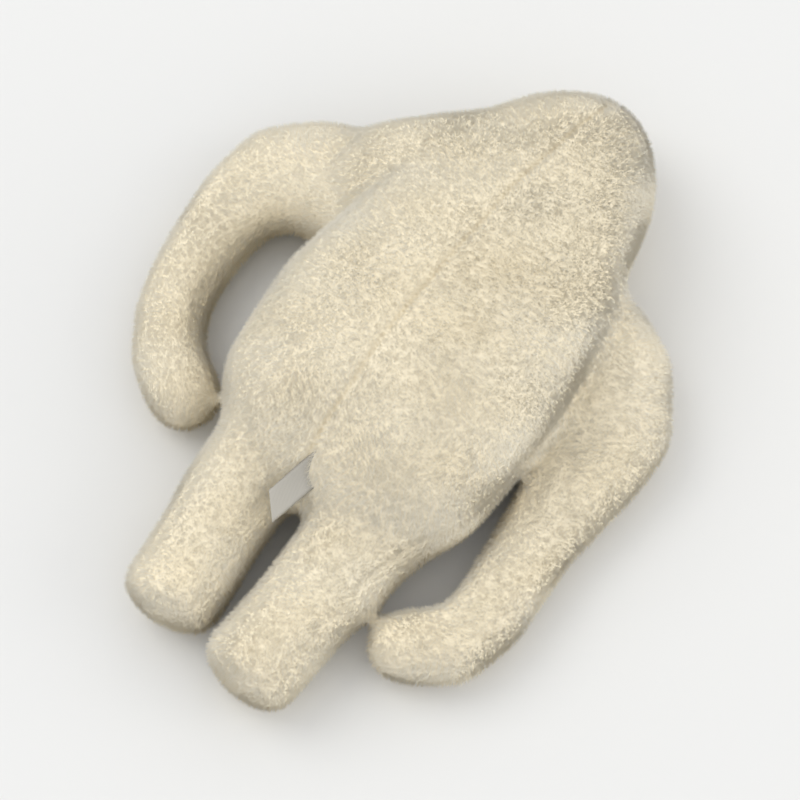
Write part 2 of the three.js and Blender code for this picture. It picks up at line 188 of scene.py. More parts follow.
def satinRibbon(width):
    # woven polyester satin: a cool off-white ribbon with a low silky shine and slightly darker heat-cut edges
    material, tree, shader = newMaterial("satinRibbon")
    place = addNode(tree, "ShaderNodeUVMap", uv_map="ribbon")
    scaled = addNode(
        tree,
        "ShaderNodeVectorMath",
        operation="SCALE",
        inputs={"Scale": 1 / (labelLook["threadSpacing"] * mm)},
        links={"Vector": place.outputs["UV"]},
    )
    weave = addNode(
        tree,
        "ShaderNodeTexWave",
        bands_direction="Y",
        inputs={"Scale": 0.32, "Distortion": 0.6, "Detail": 1.0},  # at this scale, one band for a thread
        links={"Vector": scaled.outputs["Vector"]},
    )
    split = addNode(tree, "ShaderNodeSeparateXYZ", links={"Vector": place.outputs["UV"]})
    offMiddle = addNode(
        tree,
        "ShaderNodeMath",
        operation="ABSOLUTE",
        links={0: split.outputs["X"]},
    )
    edge = addNode(
        tree,
        "ShaderNodeMapRange",
        inputs={"From Min": width * (0.5 - labelLook["edgeShare"]), "From Max": width * 0.5},
        links={"Value": offMiddle.outputs["Value"]},
    )
    colour = addNode(
        tree,
        "ShaderNodeMix",
        data_type="RGBA",
        inputs={"A": linear(labelLook["thread"]), "B": linear(labelLook["edge"])},
        links={"Factor": edge.outputs["Result"]},
    )
    bump = addNode(
        tree,
        "ShaderNodeBump",
        inputs={"Strength": 0.25, "Distance": 0.15 * mm},
        links={"Height": weave.outputs["Fac"]},
    )
    tree.links.new(colour.outputs["Result"], shader.inputs["Base Color"])
    tree.links.new(bump.outputs["Normal"], shader.inputs["Normal"])
    shader.inputs["Roughness"].default_value = labelLook["roughness"]
    shader.inputs["Sheen Weight"].default_value = labelLook["sheen"]
    return material


def matPaint(name, colour):
    # matt painted board: even and pale, with no shine
    material, tree, shader = newMaterial(name)
    shader.inputs["Base Color"].default_value = linear(colour)
    shader.inputs["Roughness"].default_value = 0.95
    shader.inputs["Specular IOR Level"].default_value = 0.1
    return material


studio = {
    "cameraAzimuth": 37.0,
    "cameraElevation": 66.0,
    "cameraAngle": 14.0,
    "cameraDistance": 1.883,
    "target": (-0.005, -0.005, 0.0),
    "floorSize": 12.0,
    "floorColour": "#dededc",
    "skyColour": "#fbfcff",
    "skyStrength": 0.98,
    "keyAzimuth": -78.0,  # to the camera's left and a little beyond the toy
    "keyElevation": 52.0,
    "keyDistance": 5.0,
    "keySize": 3.6,
    "keyPower": 71.0,
    "keyColour": "#fffdf8",
    "fillAzimuth": 112.0,  # low on the other side, to lift the shaded flank
    "fillElevation": 24.0,
    "fillDistance": 4.0,
    "fillSize": 3.0,
    "fillPower": 36.0,
}


def direction(azimuth, elevation):
    a, e = math.radians(azimuth), math.radians(elevation)
    return Vector((math.sin(a) * math.cos(e), -math.cos(a) * math.cos(e), math.sin(e)))


def aimed(thing, place, target):
    thing.location = place
    thing.rotation_euler = (Vector(target) - Vector(place)).to_track_quat("-Z", "Y").to_euler()
    bpy.context.scene.collection.objects.link(thing)


def makeStudio():
    camera = bpy.data.objects.new("camera", bpy.data.cameras.new("camera"))
    camera.data.angle = math.radians(studio["cameraAngle"])
    camera.data.clip_start, camera.data.clip_end = 0.05, 60.0
    target = Vector(studio["target"])
    towards = direction(studio["cameraAzimuth"], studio["cameraElevation"])
    aimed(camera, target + towards * studio["cameraDistance"], target)
    bpy.context.scene.camera = camera

    for name in ("key", "fill"):
        light = bpy.data.lights.new(name + "Softbox", "AREA")
        light.shape, light.size, light.energy = "DISK", studio[name + "Size"], studio[name + "Power"]
        light.color = linear(studio["keyColour"])[:3]
        softbox = bpy.data.objects.new(name + "Softbox", light)
        way = direction(studio[name + "Azimuth"], studio[name + "Elevation"])
        aimed(softbox, target + way * studio[name + "Distance"], target)

    world = bpy.data.worlds.new("studioSky")
    world.use_nodes = True
    sky = world.node_tree.nodes["Background"]
    sky.inputs["Color"].default_value = linear(studio["skyColour"])
    sky.inputs["Strength"].default_value = studio["skyStrength"]
    bpy.context.scene.world = world
    bpy.context.scene.view_settings.view_transform = "Standard"

    half = studio["floorSize"] / 2
    corners = [(-half, -half, 0), (half, -half, 0), (half, half, 0), (-half, half, 0)]
    mesh = bpy.data.meshes.new("floor")
    mesh.from_pydata(corners, [], [(0, 1, 2, 3)])
    mesh.materials.append(matPaint("studioFloor", studio["floorColour"]))
    floor = bpy.data.objects.new("floor", mesh)
    bpy.context.scene.collection.objects.link(floor)
    print("studio ready")


# skins: the sewn cover of each part, as one closed surface
skinShape = {
    "voxel": 4.0 * mm,
    "wingGap": 5 * mm,  # swells a wing this far to close its elbow
    "pileDepth": 1.0 * mm,  # the skin is drawn in by this, to leave room for the pile
    "pressure": 4.0,
    "swellCap": 3.0 * mm,  # furthest that the stuffing pushes the cover
    "clothFrames": 20,
    "floorGap": 1.2 * mm,
    "clearBelow": 5 * mm,  # along the body, where the wings hang free of it
    "clearGap": 6.0 * mm,
    "levelLeast": 0.05,  # a wing point is moved sideways only where the other skin faces sideways this much
    "levelFull": 0.4,
}


def joinedCopy(name, pieces):
    # one new object that holds the meshes of several
    work = bmesh.new()
    for piece in pieces:
        work.from_mesh(piece.data)
    mesh = bpy.data.meshes.new(name)
    work.to_mesh(mesh)
    work.free()
    piece = bpy.data.objects.new(name, mesh)
    bpy.context.scene.collection.objects.link(piece)
    return piece


def applied(piece):
    # the piece with its modifiers made part of its mesh
    graph = bpy.context.evaluated_depsgraph_get()
    mesh = bpy.data.meshes.new_from_object(piece.evaluated_get(graph))
    old = piece.data
    piece.modifiers.clear()
    piece.data = mesh
    bpy.data.meshes.remove(old)
    return piece


def remeshed(piece, voxel):
    modifier = piece.modifiers.new("remesh", "REMESH")
    modifier.mode = "VOXEL"
    modifier.voxel_size = voxel
    return applied(piece)


def pushed(piece, distance):
    modifier = piece.modifiers.new("push", "DISPLACE")
    modifier.strength = distance
    modifier.mid_level = 0.0
    return applied(piece)


def smoothed(piece, rounds):
    modifier = piece.modifiers.new("smooth", "SMOOTH")
    modifier.iterations = rounds
    modifier.factor = 0.5
    return applied(piece)


def pointsOf(piece):
    points = np.empty(len(piece.data.vertices) * 3, np.float32)
    piece.data.vertices.foreach_get("co", points)
    return points.reshape(-1, 3).astype(float)


def setPoints(piece, points):
    piece.data.vertices.foreach_set("co", np.asarray(points, np.float32).ravel())
    piece.data.update()


def nodesOf(names):
    return [frame["nodes"][name] for name in names]


def closedUp(name, nodes, gap):
    # fills the gaps at the joints: swells the joined solids, melts them together and shrinks them back
    piece = remeshed(joinedCopy(name, nodesOf(nodes)), skinShape["voxel"])
    if gap > 0:
        piece = remeshed(pushed(smoothed(piece, 2), gap), skinShape["voxel"])
        piece = pushed(smoothed(piece, 3), -gap)
    return remeshed(piece, skinShape["voxel"])


def slicePoints(piece, y):
    # where the plane at y cuts the solids
    work = bmesh.new()
    work.from_mesh(piece.data)
    geometry = work.verts[:] + work.edges[:] + work.faces[:]
    cut = bmesh.ops.bisect_plane(work, geom=geometry, plane_co=(0, y, 0), plane_no=(0, 1, 0))["geom_cut"]
    found = [(v.co.x, v.co.z) for v in cut if isinstance(v, bmesh.types.BMVert)]
    work.free()
    return np.array(found)


def hullOutline(points, around):
    # the convex outline of a slice, as points at even angles round its middle
    low, high = points.min(0), points.max(0)
    middle = (low + high) / 2
    angles = np.linspace(0, 2 * math.pi, around, endpoint=False)
    order = points[np.lexsort((points[:, 1], points[:, 0]))]

    def half(chain):
        out = []
        for point in chain:
            while len(out) > 1 and np.cross(out[-1] - out[-2], point - out[-2]) <= 0:
                out.pop()
            out.append(point)
        return out[:-1]

    hull = np.array(half(order) + half(order[::-1]))
    ring = []
    for angle in angles:
        ray = np.array([math.cos(angle), math.sin(angle)])
        best = 0.0
        for a, b in zip(hull, np.roll(hull, -1, axis=0)):
            side = b - a
            bottom = ray[0] * side[1] - ray[1] * side[0]
            if abs(bottom) < 1e-12:
                continue
            offset = a - middle
            reach = (offset[0] * side[1] - offset[1] * side[0]) / bottom
            share = (offset[0] * ray[1] - offset[1] * ray[0]) / bottom
            if reach > best and -1e-6 <= share <= 1 + 1e-6:
                best = reach
        ring.append(middle + ray * best)
    return np.array(ring)


bodyForm = {
    "around": 64,
    "slices": 30,
    "neckSpace": (26 * mm, 7 * mm),  # below and above the neck line, where the cover runs free over the joint
    "endShares": (0.004, 0.02, 0.05, 0.09, 0.14),  # slices close together where the ends round off
    "plump": 2.5 * mm,  # swelled by this much, because smoothing draws it in
    # where the stuffing is packed out: joint, then outwards, along and up from it, and how far round
    "packed": [
        ("shoulder_left", (-30 * mm, 43 * mm, 25 * mm), 37 * mm),
        ("shoulder_left", (-6 * mm, 24 * mm, 16 * mm), 38 * mm),
        ("hip_right", (14 * mm, 15 * mm, 6 * mm), 21 * mm),
    ],
}


def bodySkin():
    # rump to crown in one, lofted over the outlines of the torso and the head
    nodes = [n for n in frame["nodes"] if n.startswith(("torso_", "head_")) and "stuffing" not in n]
    solids = joinedCopy("bodySlices", nodesOf(nodes))
    lowY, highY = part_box("torso_belly")[0].y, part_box("head_front")[1].y
    length = highY - lowY
    neckY = pivotOf("neck").y
    below, above = bodyForm["neckSpace"]
    shares = list(bodyForm["endShares"])
    shares += list(np.linspace(0.18, 0.84, bodyForm["slices"]))
    shares += [1 - share for share in reversed(bodyForm["endShares"])]
    places = [lowY + length * share for share in shares]
    places = [y for y in places if not neckY - below < y < neckY + above]
    rings = []
    for y in places:
        outline = hullOutline(slicePoints(solids, y), bodyForm["around"])
        rings.append([(x, y, z) for x, z in outline])
    bpy.data.objects.remove(solids)
    ends = [tuple(np.mean(rings[k], axis=0)) for k in (0, -1)]
    points = [ends[0], *[p for ring in rings for p in ring], ends[1]]
    around = bodyForm["around"]
    faces = []
    for j in range(around):
        after = (j + 1) % around
        faces.append((0, 1 + j, 1 + after))
        faces.append((len(points) - 1, len(points) - 1 - around + after, len(points) - 1 - around + j))
        for k in range(len(rings) - 1):
            here = 1 + k * around
            faces.append((here + j, here + around + j, here + around + after, here + after))
    mesh = bpy.data.meshes.new("bodySkin")
    mesh.from_pydata(points, [], faces)
    work = bmesh.new()
    work.from_mesh(mesh)
    for joint, (outwards, forwards, up), radius in bodyForm["packed"]:
        side = joint.split("_")[1]
        place = pivotOf(joint) + Vector((sides[side] * outwards, forwards, up))
        bmesh.ops.create_icosphere(work, subdivisions=4, radius=radius, matrix=Matrix.Translation(place))
    work.to_mesh(mesh)
    work.free()
    piece = bpy.data.objects.new("bodySkin", mesh)
    bpy.context.scene.collection.objects.link(piece)
    return pushed(smoothed(remeshed(piece, skinShape["voxel"]), 4), bodyForm["plump"])


def swelled(piece):
    # stuffing pressure on the cover, as cloth; the move is capped and nothing goes under the floor
    before = pointsOf(piece)
    cloth = piece.modifiers.new("cloth", "CLOTH")
    cloth.settings.use_pressure = True
    cloth.settings.uniform_pressure_force = skinShape["pressure"]
    cloth.settings.effector_weights.gravity = 0
    cloth.settings.quality = 3
    cloth.collision_settings.use_collision = False
    scene = bpy.context.scene
    cloth.point_cache.frame_start, cloth.point_cache.frame_end = 1, skinShape["clothFrames"]
    for number in range(1, skinShape["clothFrames"] + 1):
        scene.frame_set(number)
    piece = applied(piece)
    scene.frame_set(1)
    moved = pointsOf(piece) - before
    far = np.maximum(np.linalg.norm(moved, axis=1, keepdims=True), 1e-9)
    setPoints(piece, onFloor(before + moved * np.minimum(1.0, skinShape["swellCap"] / far)))
    return piece


def onFloor(points):
    points[:, 2] = np.maximum(points[:, 2], skinShape["floorGap"])
    return points


def subdivided(piece):
    # one subdivision, once the cover has its shape
    modifier = piece.modifiers.new("subdivide", "SUBSURF")
    modifier.levels = modifier.render_levels = 1
    piece = applied(piece)
    setPoints(piece, onFloor(pointsOf(piece)))
    return piece


def normalsOf(piece):
    normals = np.empty(len(piece.data.vertices) * 3, np.float32)
    piece.data.vertex_normals.foreach_get("vector", normals)
    return normals.reshape(-1, 3).astype(float)


def eased(piece, spots):
    # rounds out the hollows where the parts are sewn together; a spot is a place, a reach and rounds
    edges = np.empty(len(piece.data.edges) * 2, np.int32)
    piece.data.edges.foreach_get("vertices", edges)
    a, b = edges.reshape(-1, 2).T
    points = pointsOf(piece)
    count = len(points)
    degree = np.bincount(a, minlength=count) + np.bincount(b, minlength=count)
    for place, reach, rounds in spots:
        distance = np.linalg.norm(points - np.array(place), axis=1)
        weight = (sewnEase["strength"] * np.exp(-((distance / reach) ** 2)))[:, None]
        for _ in range(rounds):
            total = np.zeros_like(points)
            for k in range(3):
                total[:, k] = np.bincount(a, points[b, k], count) + np.bincount(b, points[a, k], count)
            points += (total / degree[:, None] - points) * weight
    setPoints(piece, points)
    return piece


def easedSpots():
    # shoulders, hips and neck, from the joints
    spots = []
    for side, sign in sides.items():
        shoulder, hip = pivotOf(f"shoulder_{side}"), pivotOf(f"hip_{side}")
        for along, outwards, reach, rounds in sewnEase["shoulder"][side]:
            place = shoulder + Vector((sign * outwards, along, sewnEase["shoulderUp"]))
            spots.append((place, reach, rounds))
        for along, outwards, reach, rounds in sewnEase["hip"][side]:
            spots.append((hip + Vector((sign * outwards, along, sewnEase["hipUp"])), reach, rounds))
    for across, forwards, up, reach, rounds in sewnEase["neck"]:
        spots.append((pivotOf("neck") + Vector((across, forwards, up)), reach, rounds))
    return spots


sewnEase = {
    "strength": 0.6,
    "shoulderUp": 10 * mm,
    "hipUp": 12 * mm,
    # along Y and outwards from the joint, reach and rounds
    "shoulder": {
        "left": [
            (40 * mm, 8 * mm, 42 * mm, 90),
            (6 * mm, -4 * mm, 38 * mm, 70),
            (-42 * mm, 8 * mm, 22 * mm, 25),
        ],
        "right": [
            (44 * mm, -2 * mm, 24 * mm, 40),
            (6 * mm, 0.0, 24 * mm, 16),
            (-40 * mm, 6 * mm, 20 * mm, 14),
        ],
    },
    "hip": {
        "left": [(8 * mm, 6 * mm, 30 * mm, 50), (6 * mm, 26 * mm, 26 * mm, 40)],
        "right": [(8 * mm, -4 * mm, 24 * mm, 20), (6 * mm, 28 * mm, 28 * mm, 50)],
    },
    "neck": [(-48 * mm, 12 * mm, 26 * mm, 36 * mm, 80)],  # across, along and up, reach and rounds
}


def partSkin(part):
    if part == "body":
        skin = bodySkin()
    else:
        nodes = [n for n in frame["nodes"] if n.startswith(part) and "stuffing" not in n]
        skin = closedUp(part + "_skin", nodes, skinShape["wingGap"] if "wing" in part else 0)
    return smoothed(pushed(skin, -skinShape["pileDepth"]), 2)


def keptClear(wing, others):
    # holds the lower stretch of a wing off the body and the leg beside it, so that they don't melt together
    points = pointsOf(wing)
    for other in others:
        tree = treeOf(other)
        for k in np.nonzero(points[:, 1] < skinShape["clearBelow"])[0]:
            place, normal, _, _ = tree.find_nearest(points[k])
            away = (Vector(points[k]) - place).dot(normal)
            short = skinShape["clearGap"] - away
            level = math.hypot(normal.x, normal.y)
            if 0 < short < 4 * skinShape["clearGap"] and level > skinShape["levelLeast"]:
                points[k, :2] += np.array((normal.x, normal.y)) * short / max(level, skinShape["levelFull"])
    setPoints(wing, points)


def coverOf(parts):
    # one cover over all the parts, from the outside of the pile down to its backing, then stuffed
    cover = remeshed(joinedCopy("cover", parts.values()), skinShape["voxel"])
    cover = eased(smoothed(cover, 3), easedSpots())
    return subdivided(swelled(cover))


seams = {
    "backX": -5.0 * mm,
    "sideZ": 52.0 * mm,
    "sideRise": 0.03,
    "backDepth": 1.6 * mm,
    "sideDepth": 1.0 * mm,
    "spread": 2.8 * mm,
    "wander": 0.9 * mm,  # how far hand stitching strays from the straight
}


def pressedSeam(piece, distances, depth):
    # draws the cover in along a line, by each point's distance from it
    points, normals = pointsOf(piece), normalsOf(piece)
    press = depth * np.exp(-((distances(points) / seams["spread"]) ** 2))
    setPoints(piece, onFloor(points - normals * press[:, None]))


def backSeamDistance(points):
    onBack = points[:, 2] > seams["sideZ"] + seams["sideRise"] * points[:, 1]
    stray = seams["wander"] * np.sin(points[:, 1] / (13 * mm)) * np.cos(points[:, 1] / (31 * mm))
    return np.where(onBack, np.abs(points[:, 0] - seams["backX"] - stray), 1.0)


def sideSeamDistance(points):
    return np.abs(points[:, 2] - seams["sideZ"] - seams["sideRise"] * points[:, 1])


# every strand of the pile is a small closed spike, drawn to a point and leaning with the nap
pile = {
    "density": 1.6e6,  # strands in a square metre
    "underShare": 0.45,  # share of them underneath, where the toy lies on them
    "quickShare": 0.5,
    "length": 3.5 * mm,
    "lengthSpread": 0.35,
    "width": 0.36 * mm,
    "lean": 0.75,  # sideways reach for each unit outwards
    "jitter": 0.5,
    "swirlSize": 38 * mm,
    "clumpSpacing": 3.6 * mm,
    "clumpPull": 0.15,
    "normalBlend": 0.96,  # how far a strand shades like the cover under it
    "swirl": 0.9,
    "lengthDrift": 0.12,
    "lengthDriftSize": 60 * mm,
    "rootDepth": 0.5 * mm,  # the foot of a strand in its backing
    "backing": 1.2 * mm,
    "seamReach": 1.5 * mm,
    "seamShortening": 0.45,
    "tone": 0.75,  # brightness of most strands, where 1 is palest
    "toneDrift": 0.06,
    "toneDriftSize": 45 * mm,
    "toneScatter": 0.08,
    "toneUnderneath": 0.7,  # painted shade: how much darker, for each unit that the cover turns down past its sides
    # painted shade along the back seam
    "toneAtSeam": 0.55,
}


def softNoise(points, size, seed):
    # smooth values from -1 to 1 that change over about the given size
    source = np.random.default_rng(seed)
    total = np.zeros(len(points))
    for _ in range(7):
        way = source.normal(size=3)
        way *= (2 * math.pi / size) * source.uniform(0.5, 1.3) / np.linalg.norm(way)
        total += np.sin(points @ way + source.uniform(0, 2 * math.pi))
    return total / 3.0


def unit(vectors):
    return vectors / np.maximum(np.linalg.norm(vectors, axis=1, keepdims=True), 1e-12)


def trianglesOf(piece):
    mesh = piece.data
    mesh.calc_loop_triangles()
    corners = np.empty(len(mesh.loop_triangles) * 3, np.int32)
    mesh.loop_triangles.foreach_get("vertices", corners)
    owner = np.empty(len(mesh.loop_triangles), np.int32)
    mesh.loop_triangles.foreach_get("polygon_index", owner)
    return corners.reshape(-1, 3), owner


def scattered(piece, density, source):
    # even random places on a skin, with the face each lies on and the cover's direction there
    points, normals = pointsOf(piece), normalsOf(piece)
    corners, owner = trianglesOf(piece)
    a, b, c = (points[corners[:, k]] for k in range(3))
    areas = np.linalg.norm(np.cross(b - a, c - a), axis=1) / 2
    count = int(areas.sum() * density)
    pick = np.searchsorted(np.cumsum(areas), source.uniform(0, areas.sum(), count))
    pick = np.minimum(pick, len(areas) - 1)
    u, v = source.uniform(size=count), source.uniform(size=count)
    over = u + v > 1
    u[over], v[over] = 1 - u[over], 1 - v[over]
    weights = np.stack([1 - u - v, u, v], axis=1)[:, :, None]
    places = (points[corners[pick]] * weights).sum(1)
    upwards = unit((normals[corners[pick]] * weights).sum(1))
    return places, upwards, owner[pick]


def clumped(roots, tips, source):
    # draws neighbouring tips together into small tufts
    count = max(1, int(len(roots) * (1 / pile["density"]) / pile["clumpSpacing"] ** 2))
    centres = source.choice(len(roots), min(count, len(roots)), replace=False)
    tree = KDTree(len(centres))
    for k, centre in enumerate(centres):
        tree.insert(roots[centre], k)
    tree.balance()
    nearest = np.array([centres[tree.find(root)[1]] for root in roots])
    pull = pile["clumpPull"] * source.uniform(0.4, 1.0, len(roots))[:, None]
    return tips + (tips[nearest] - tips) * pull


def treeOf(piece):
    corners, _ = trianglesOf(piece)
    return BVHTree.FromPolygons(pointsOf(piece).tolist(), corners.tolist())


def grownPile(piece, partShares, seed):
    # the strands of the cover: root, tip, tone with its painted shade and the face that each stands on
    source = np.random.default_rng(seed)
    density = pile["density"] * 1
    roots, upwards, faces = scattered(piece, density, source)
    kept = (upwards[:, 2] > -0.5) | (source.uniform(size=len(roots)) < pile["underShare"])
    roots, upwards, faces = roots[kept], upwards[kept], faces[kept]
    flow = sum(nap(roots) * partShares[faces, part, None] for part, nap in naps.items())
    flow -= upwards * (flow * upwards).sum(1, keepdims=True)
    flow = unit(flow)
    across = np.cross(upwards, flow)
    swirl = softNoise(roots, pile["swirlSize"], seed + 1)[:, None]
    lean = flow + across * swirl * pile["swirl"]
    lean += source.normal(size=roots.shape) * pile["jitter"]
    length = pile["length"] * (1 + pile["lengthSpread"] * source.uniform(-1, 1, len(roots)))
    length *= 1 + pile["lengthDrift"] * softNoise(roots, pile["lengthDriftSize"], seed + 2)
    atSeam = np.exp(-((backSeamDistance(roots) / pile["seamReach"]) ** 2))
    length *= 1 - pile["seamShortening"] * atSeam
    way = unit(upwards + unit(lean) * pile["lean"] * source.uniform(0.6, 1.25, len(roots))[:, None])
    tips = clumped(roots, roots + way * length[:, None], source)
    low = skinShape["floorGap"] * source.uniform(0.3, 0.6, len(tips))
    tips[:, 2] = np.maximum(tips[:, 2], low)
    tone = pile["tone"] + pile["toneDrift"] * softNoise(roots, pile["toneDriftSize"], seed + 3)
    tone += source.uniform(-pile["toneScatter"], pile["toneScatter"], len(roots))
    # painted shade: pile that faces down and pile along the back seam take more of the warm shade tint
    tone -= pile["toneUnderneath"] * np.clip(0.35 - upwards[:, 2], 0, 0.8)
    tone -= pile["toneAtSeam"] * atSeam
    return {
        "roots": roots - upwards * pile["rootDepth"],
        "tips": tips,
        "upwards": upwards,
        "faces": faces,
        "tone": np.clip(tone, 0.02, 0.98),
    }


def spikes(strands):
    # three-sided spikes: four points and four faces each
    roots, tips, upwards = strands["roots"], strands["tips"], strands["upwards"]
    scale = 1
    way = unit(tips - roots)
    sideways = unit(np.cross(way, upwards) + 1e-6)
    third = np.cross(way, sideways)
    half = pile["width"] * scale / 2
    ring = []
    for k in range(3):
        angle = 2 * math.pi * k / 3
        ring.append(roots + (sideways * math.cos(angle) + third * math.sin(angle)) * half)
    points = np.stack([*ring, tips], axis=1)
    outwards = [unit(corner - roots) for corner in ring]
    blend = pile["normalBlend"]
    normals = np.stack(
        [*[unit(upwards * blend + out * (1 - blend)) for out in outwards], unit(upwards + way * 0.15)],
        axis=1,
    )
    corners = np.array([(0, 1, 3), (1, 2, 3), (2, 0, 3), (2, 1, 0)])
    return points, normals, corners


def panelMesh(name, skin, chosen, strands, material):
    # the chosen faces of a skin as a knitted backing with a thickness, and the strands that stand on them
    work = bmesh.new()
    work.from_mesh(skin.data)
    number = work.verts.layers.int.new("number")
    for vertex in work.verts:
        vertex[number] = vertex.index
    bmesh.ops.delete(work, geom=[f for f in work.faces if not chosen[f.index]], context="FACES")
    kept = [vertex[number] for vertex in work.verts]
    work.verts.layers.int.remove(number)
    mesh = bpy.data.meshes.new(name)
    work.to_mesh(mesh)
    work.free()
    backing = bpy.data.objects.new(name, mesh)
    bpy.context.scene.collection.objects.link(backing)
    solid = backing.modifiers.new("backing", "SOLIDIFY")
    solid.thickness = pile["backing"]
    solid.offset = -1.0
    backing = applied(backing)

    basePoints, baseNormals = pointsOf(backing), normalsOf(backing)
    baseNormals[: len(kept)] = normalsOf(skin)[kept]  # so that neighbouring panels shade as one cover
    sizes = np.empty(len(backing.data.polygons), np.int32)
    backing.data.polygons.foreach_get("loop_total", sizes)
    loops = np.empty(len(backing.data.loops), np.int32)
    backing.data.loops.foreach_get("vertex_index", loops)

    on = chosen[strands["faces"]]
    mine = {key: value[on] for key, value in strands.items()}
    points, normals, corners = spikes(mine)
    count = len(points)
    first = len(basePoints) + 4 * np.arange(count)
    strandLoops = (first[:, None, None] + corners[None]).ravel()
    tone = np.repeat(mine["tone"], 12)
    # the faces of a strand lie side by side in the unwrap, so that each has an area there
    sway = np.tile([0.0, 1.0, 0.5, 1.0, 2.0, 1.5, 2.0, 3.0, 2.5, 0.0, 1.0, 2.0], count) * 0.002
    depth = np.tile([0.04, 0.04, 1.0] * 3 + [0.0, 0.01, 0.02], count)

    allPoints = np.concatenate([basePoints, points.reshape(-1, 3)])
    allLoops = np.concatenate([loops, strandLoops])
    allSizes = np.concatenate([sizes, np.full(4 * count, 3, np.int32)])
    starts = np.concatenate([[0], np.cumsum(allSizes)[:-1]])
    baseTone = pile["tone"] + pile["toneDrift"] * softNoise(basePoints, pile["toneDriftSize"], 5)
    baseU = np.clip(baseTone, 0.05, 0.95)[loops]
    # the backing sits at the root of the ramp, in its painted warm shade
    uvs = np.stack(
        [np.concatenate([baseU, tone + sway]), np.concatenate([np.full(len(loops), 0.02), depth])], axis=1
    )
    made = bpy.data.meshes.new(name + "Pile")
    made.vertices.add(len(allPoints))
    made.vertices.foreach_set("co", allPoints.astype(np.float32).ravel())
    made.loops.add(len(allLoops))
    made.loops.foreach_set("vertex_index", allLoops.astype(np.int32))
    made.polygons.add(len(allSizes))
    made.polygons.foreach_set("loop_start", starts.astype(np.int32))
    made.update(calc_edges=True)
    made.polygons.foreach_set("use_smooth", np.ones(len(allSizes), bool))
    made.uv_layers.new(name="OFBake").data.foreach_set("uv", uvs.astype(np.float32).ravel())
    vertexNormals = np.concatenate([baseNormals, normals.reshape(-1, 3)])
    made.normals_split_custom_set_from_vertices(vertexNormals.astype(np.float32))
    made.materials.append(material)
    old = backing.data
    backing.data = made
    bpy.data.meshes.remove(old)
    print(f"  {name}: {count} strands")
    return backing


def faceCentres(piece):
    centres = np.empty(len(piece.data.polygons) * 3, np.float32)
    piece.data.polygons.foreach_get("center", centres)
    return centres.reshape(-1, 3).astype(float)


def bodyNap(points):
    # the pile on the body is stroked from the crown towards the rump
    return np.tile((0.0, -1.0, -0.15), (len(points), 1))


def legNap(points):
    return np.tile((0.0, -1.0, 0.0), (len(points), 1))


def wingNap(side):
    # out from the shoulder, then down along the wing
    shoulder = pivotOf(f"shoulder_{side}")

    def nap(points):
        turn = np.clip((shoulder.y - points[:, 1]) / (60 * mm), 0, 1)[:, None]
        return np.array((sides[side], 0.0, 0.0)) * (1 - turn) + np.array((0.0, -1.0, 0.0)) * turn

    return nap


partNames = ["body", "wing_left", "wing_right", "leg_left", "leg_right"]
naps = {0: bodyNap, 1: wingNap("left"), 2: wingNap("right"), 3: legNap, 4: legNap}

# where the cover bends: which way, and from where to where along it, from the joint's pivot
bends = {
    "neck": ((0, 1, 0), -12 * mm, 45 * mm),
    "shoulder_left": ((-0.94, -0.34, 0), 26 * mm, 62 * mm),
    "shoulder_right": ((0.75, -0.66, 0), 44 * mm, 84 * mm),
    "elbow_left": ((0, -1, 0), -16 * mm, 16 * mm),
    "elbow_right": ((0, -1, 0), -16 * mm, 16 * mm),
    "hip_left": ((0, -1, 0), 22 * mm, 50 * mm),
    "hip_right": ((0, -1, 0), 15 * mm, 43 * mm),
}
panelCut = -3 * mm  # a panel starts this far before its own bend
partReach = 9 * mm  # over about this much, one part's nap turns into the next one's


def along(points, joint):
    # how far points lie past a joint, the way it bends
    way = np.array(Vector(bends[joint][0]).normalized())
    return (points - np.array(pivotOf(joint))) @ way


def hang(piece, body=None):
    # on one body, or left free with its place baked into the mesh
    if body:
        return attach(piece, body)
    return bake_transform(piece)


def dress(nodes):
    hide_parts(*nodes)


def nearness(points, trees):
    # each point's share in every part of the cover, by how near that part's own skin is
    away = np.array([[tree.find_nearest(point)[3] for tree in trees] for point in points])
    shares = np.exp(-away / partReach)
    return shares / shares.sum(1, keepdims=True)


fillingForm = {
    "voxel": 5 * mm,
    "slack": 4.0 * mm,  # room between the wadding and its cover
    "lumpSize": 18 * mm,
    "lumpHeight": 0.8 * mm,
    "seed": 9,
}


def makeFilling(node, material):
    # loose wadding inside a part, a little smaller than its cover
    body = next(name for name, members in frame["record"]["behaviour"]["bodies"].items() if node in members)
    solid = joinedCopy(node.replace("_stuffing", "") + "_filling", nodesOf([node]))
    piece = pushed(remeshed(solid, fillingForm["voxel"]), -fillingForm["slack"])
    points = pointsOf(piece)
    lumps = softNoise(points, fillingForm["lumpSize"], fillingForm["seed"]) * fillingForm["lumpHeight"]
    points += normalsOf(piece) * lumps[:, None]
    setPoints(piece, onFloor(points))
    for polygon in piece.data.polygons:
        polygon.use_smooth = True
    piece.data.materials.clear()
    piece.data.materials.append(material)
    joint = next((name for name, joint in joints.items() if joint["child"] == body), None)
    if joint:
        hang(piece)
    else:
        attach(piece, body)
    dress([node])


# the care label: a ribbon folded in two, sewn into the end of the back seam
labelForm = {
    # corners of the folded ribbon at the seam and at the fold, from the top of the CAD label
    "rootUpper": (4.2 * mm, -0.8 * mm, -12.0 * mm),
    "rootLower": (14.2 * mm, -6.8 * mm, -28.0 * mm),
    "foldUpper": (-8.3 * mm, -33.1 * mm, -29.9 * mm),
    "foldLower": (3.1 * mm, -45.1 * mm, -37.6 * mm),
    "gap": 1.0 * mm,  # between the two layers
    "thickness": 0.25 * mm,
    "along": 26,
    "across": 8,
    "bow": 1.2 * mm,
    "lift": 2.0 * mm,
}


